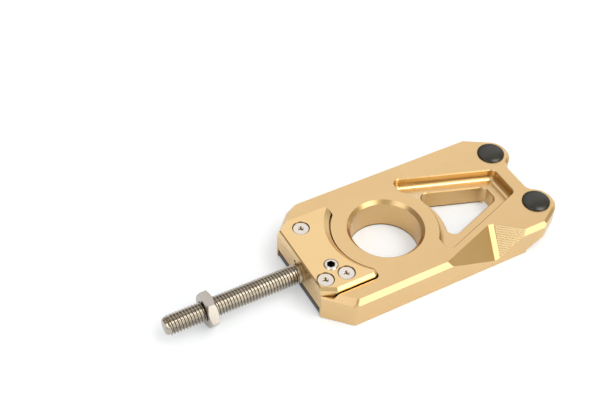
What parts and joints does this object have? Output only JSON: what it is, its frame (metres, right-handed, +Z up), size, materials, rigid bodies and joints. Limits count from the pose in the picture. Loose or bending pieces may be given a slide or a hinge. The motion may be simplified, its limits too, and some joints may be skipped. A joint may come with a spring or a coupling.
{
  "type": "motorcycle chain adjuster",
  "caption": "Billet chain adjuster: an axle block with a round bore, a triangular pocket and window, a captive threaded spindle under a screwed cover plate, and a lock nut.",
  "frame": {"origin": "on the axis of the axle bore, at the flat underside", "axes": "+X along the spindle, from its free end to the two lobes; +Z up along the axle bore, out of the visible top face; +Y to the far side wall"},
  "size_m": [0.1638, 0.0546, 0.016],
  "materials": {
    "gold_anodised": "satin gold anodising on milled billet",
    "stainless": "turned stainless steel",
    "black_plastic": "satin black moulded plastic"
  },
  "bodies": {
    "block": {"axle_block": "gold_anodised", "cover_plate": "gold_anodised", "plate_screws": "stainless", "set_screw": "stainless", "slide_pad": "black_plastic", "far_plug": "black_plastic", "near_plug": "black_plastic"},
    "spindle": {"spindle": "stainless"},
    "lock_nut": {"lock_nut": "stainless"}
  },
  "joints": [
    {"name": "spindle_turn", "type": "hinge", "parent": "block", "child": "spindle", "pos_m": [0, 0, 0.0073], "axis": [1, 0, 0], "range_deg": [-10080, 4032]},
    {"name": "nut_slide", "type": "slide", "parent": "block", "child": "lock_nut", "axis": [1, 0, 0], "range_m": [-0.014, 0.035]}
  ],
  "couplings": [
    {"joint": "nut_slide", "follows": "spindle_turn", "m_per_rad": -0.00019894}
  ]
}
